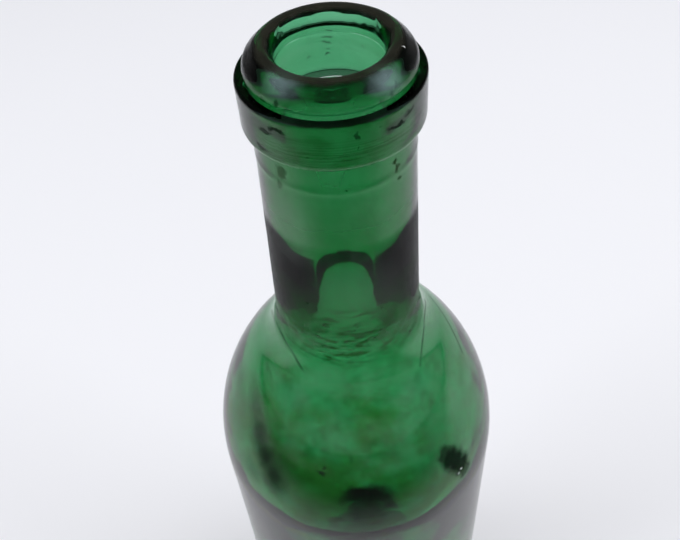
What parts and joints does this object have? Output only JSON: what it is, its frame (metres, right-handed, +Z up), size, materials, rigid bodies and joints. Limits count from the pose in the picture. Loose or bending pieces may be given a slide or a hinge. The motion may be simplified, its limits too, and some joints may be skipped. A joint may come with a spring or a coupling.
{
  "type": "glass soda bottle",
  "caption": "Open green glass soda bottle: round resting ring with a kick-up, straight body, round shoulder, tapering neck, fire-polished lip and a separate laid-on glass collar.",
  "frame": {"origin": "centre of the resting ring, on the table", "axes": "+Z runs up the bottle through the mouth; the bottle is round, so +X and +Y are free"},
  "size_m": [0.071, 0.071, 0.265],
  "materials": {
    "bottle_glass": "fire-polished green glass, seedy and slightly uneven",
    "collar_glass": "tooled green glass with fine horizontal striations"
  },
  "bodies": {
    "root": {"bottle_body": "bottle_glass", "laid_on_collar": "collar_glass"}
  },
  "joints": []
}
